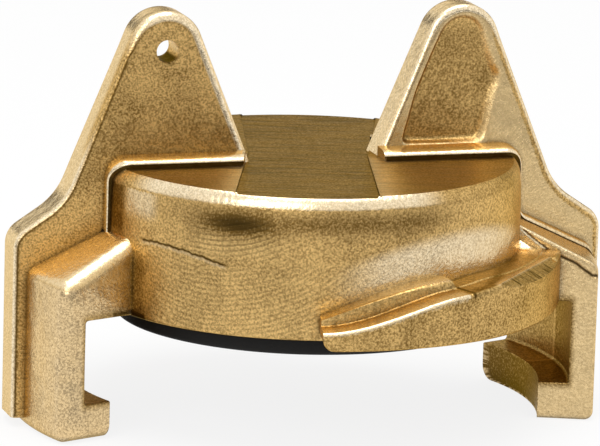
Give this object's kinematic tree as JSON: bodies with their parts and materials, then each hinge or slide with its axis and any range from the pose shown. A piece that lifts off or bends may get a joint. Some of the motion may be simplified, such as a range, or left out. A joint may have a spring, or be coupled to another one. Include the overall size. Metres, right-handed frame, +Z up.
{
  "type": "claw hose coupling blank cap",
  "caption": "Brass blank cap of a claw hose coupling: round disc with hooked claws, stepped cam ramps, upright ears with a chain hole, and a black rubber face seal.",
  "frame": {"origin": "on the cap's axis in the plane of the claw tips, on which the cap rests", "axes": "+Z up along the cap's axis, towards the ears; +X through the middle of the claws and ears, away from the ear with the chain hole; +Y to the back of the pictured view"},
  "size_m": [0.0624, 0.054, 0.042],
  "materials": {
    "forged_brass": "hot-forged and tumbled, fine-grained, with milled and turned faces",
    "nitrile_rubber": "moulded black rubber, satin"
  },
  "bodies": {
    "root": {"cap_body": "forged_brass", "face_seal": "nitrile_rubber"}
  },
  "joints": []
}
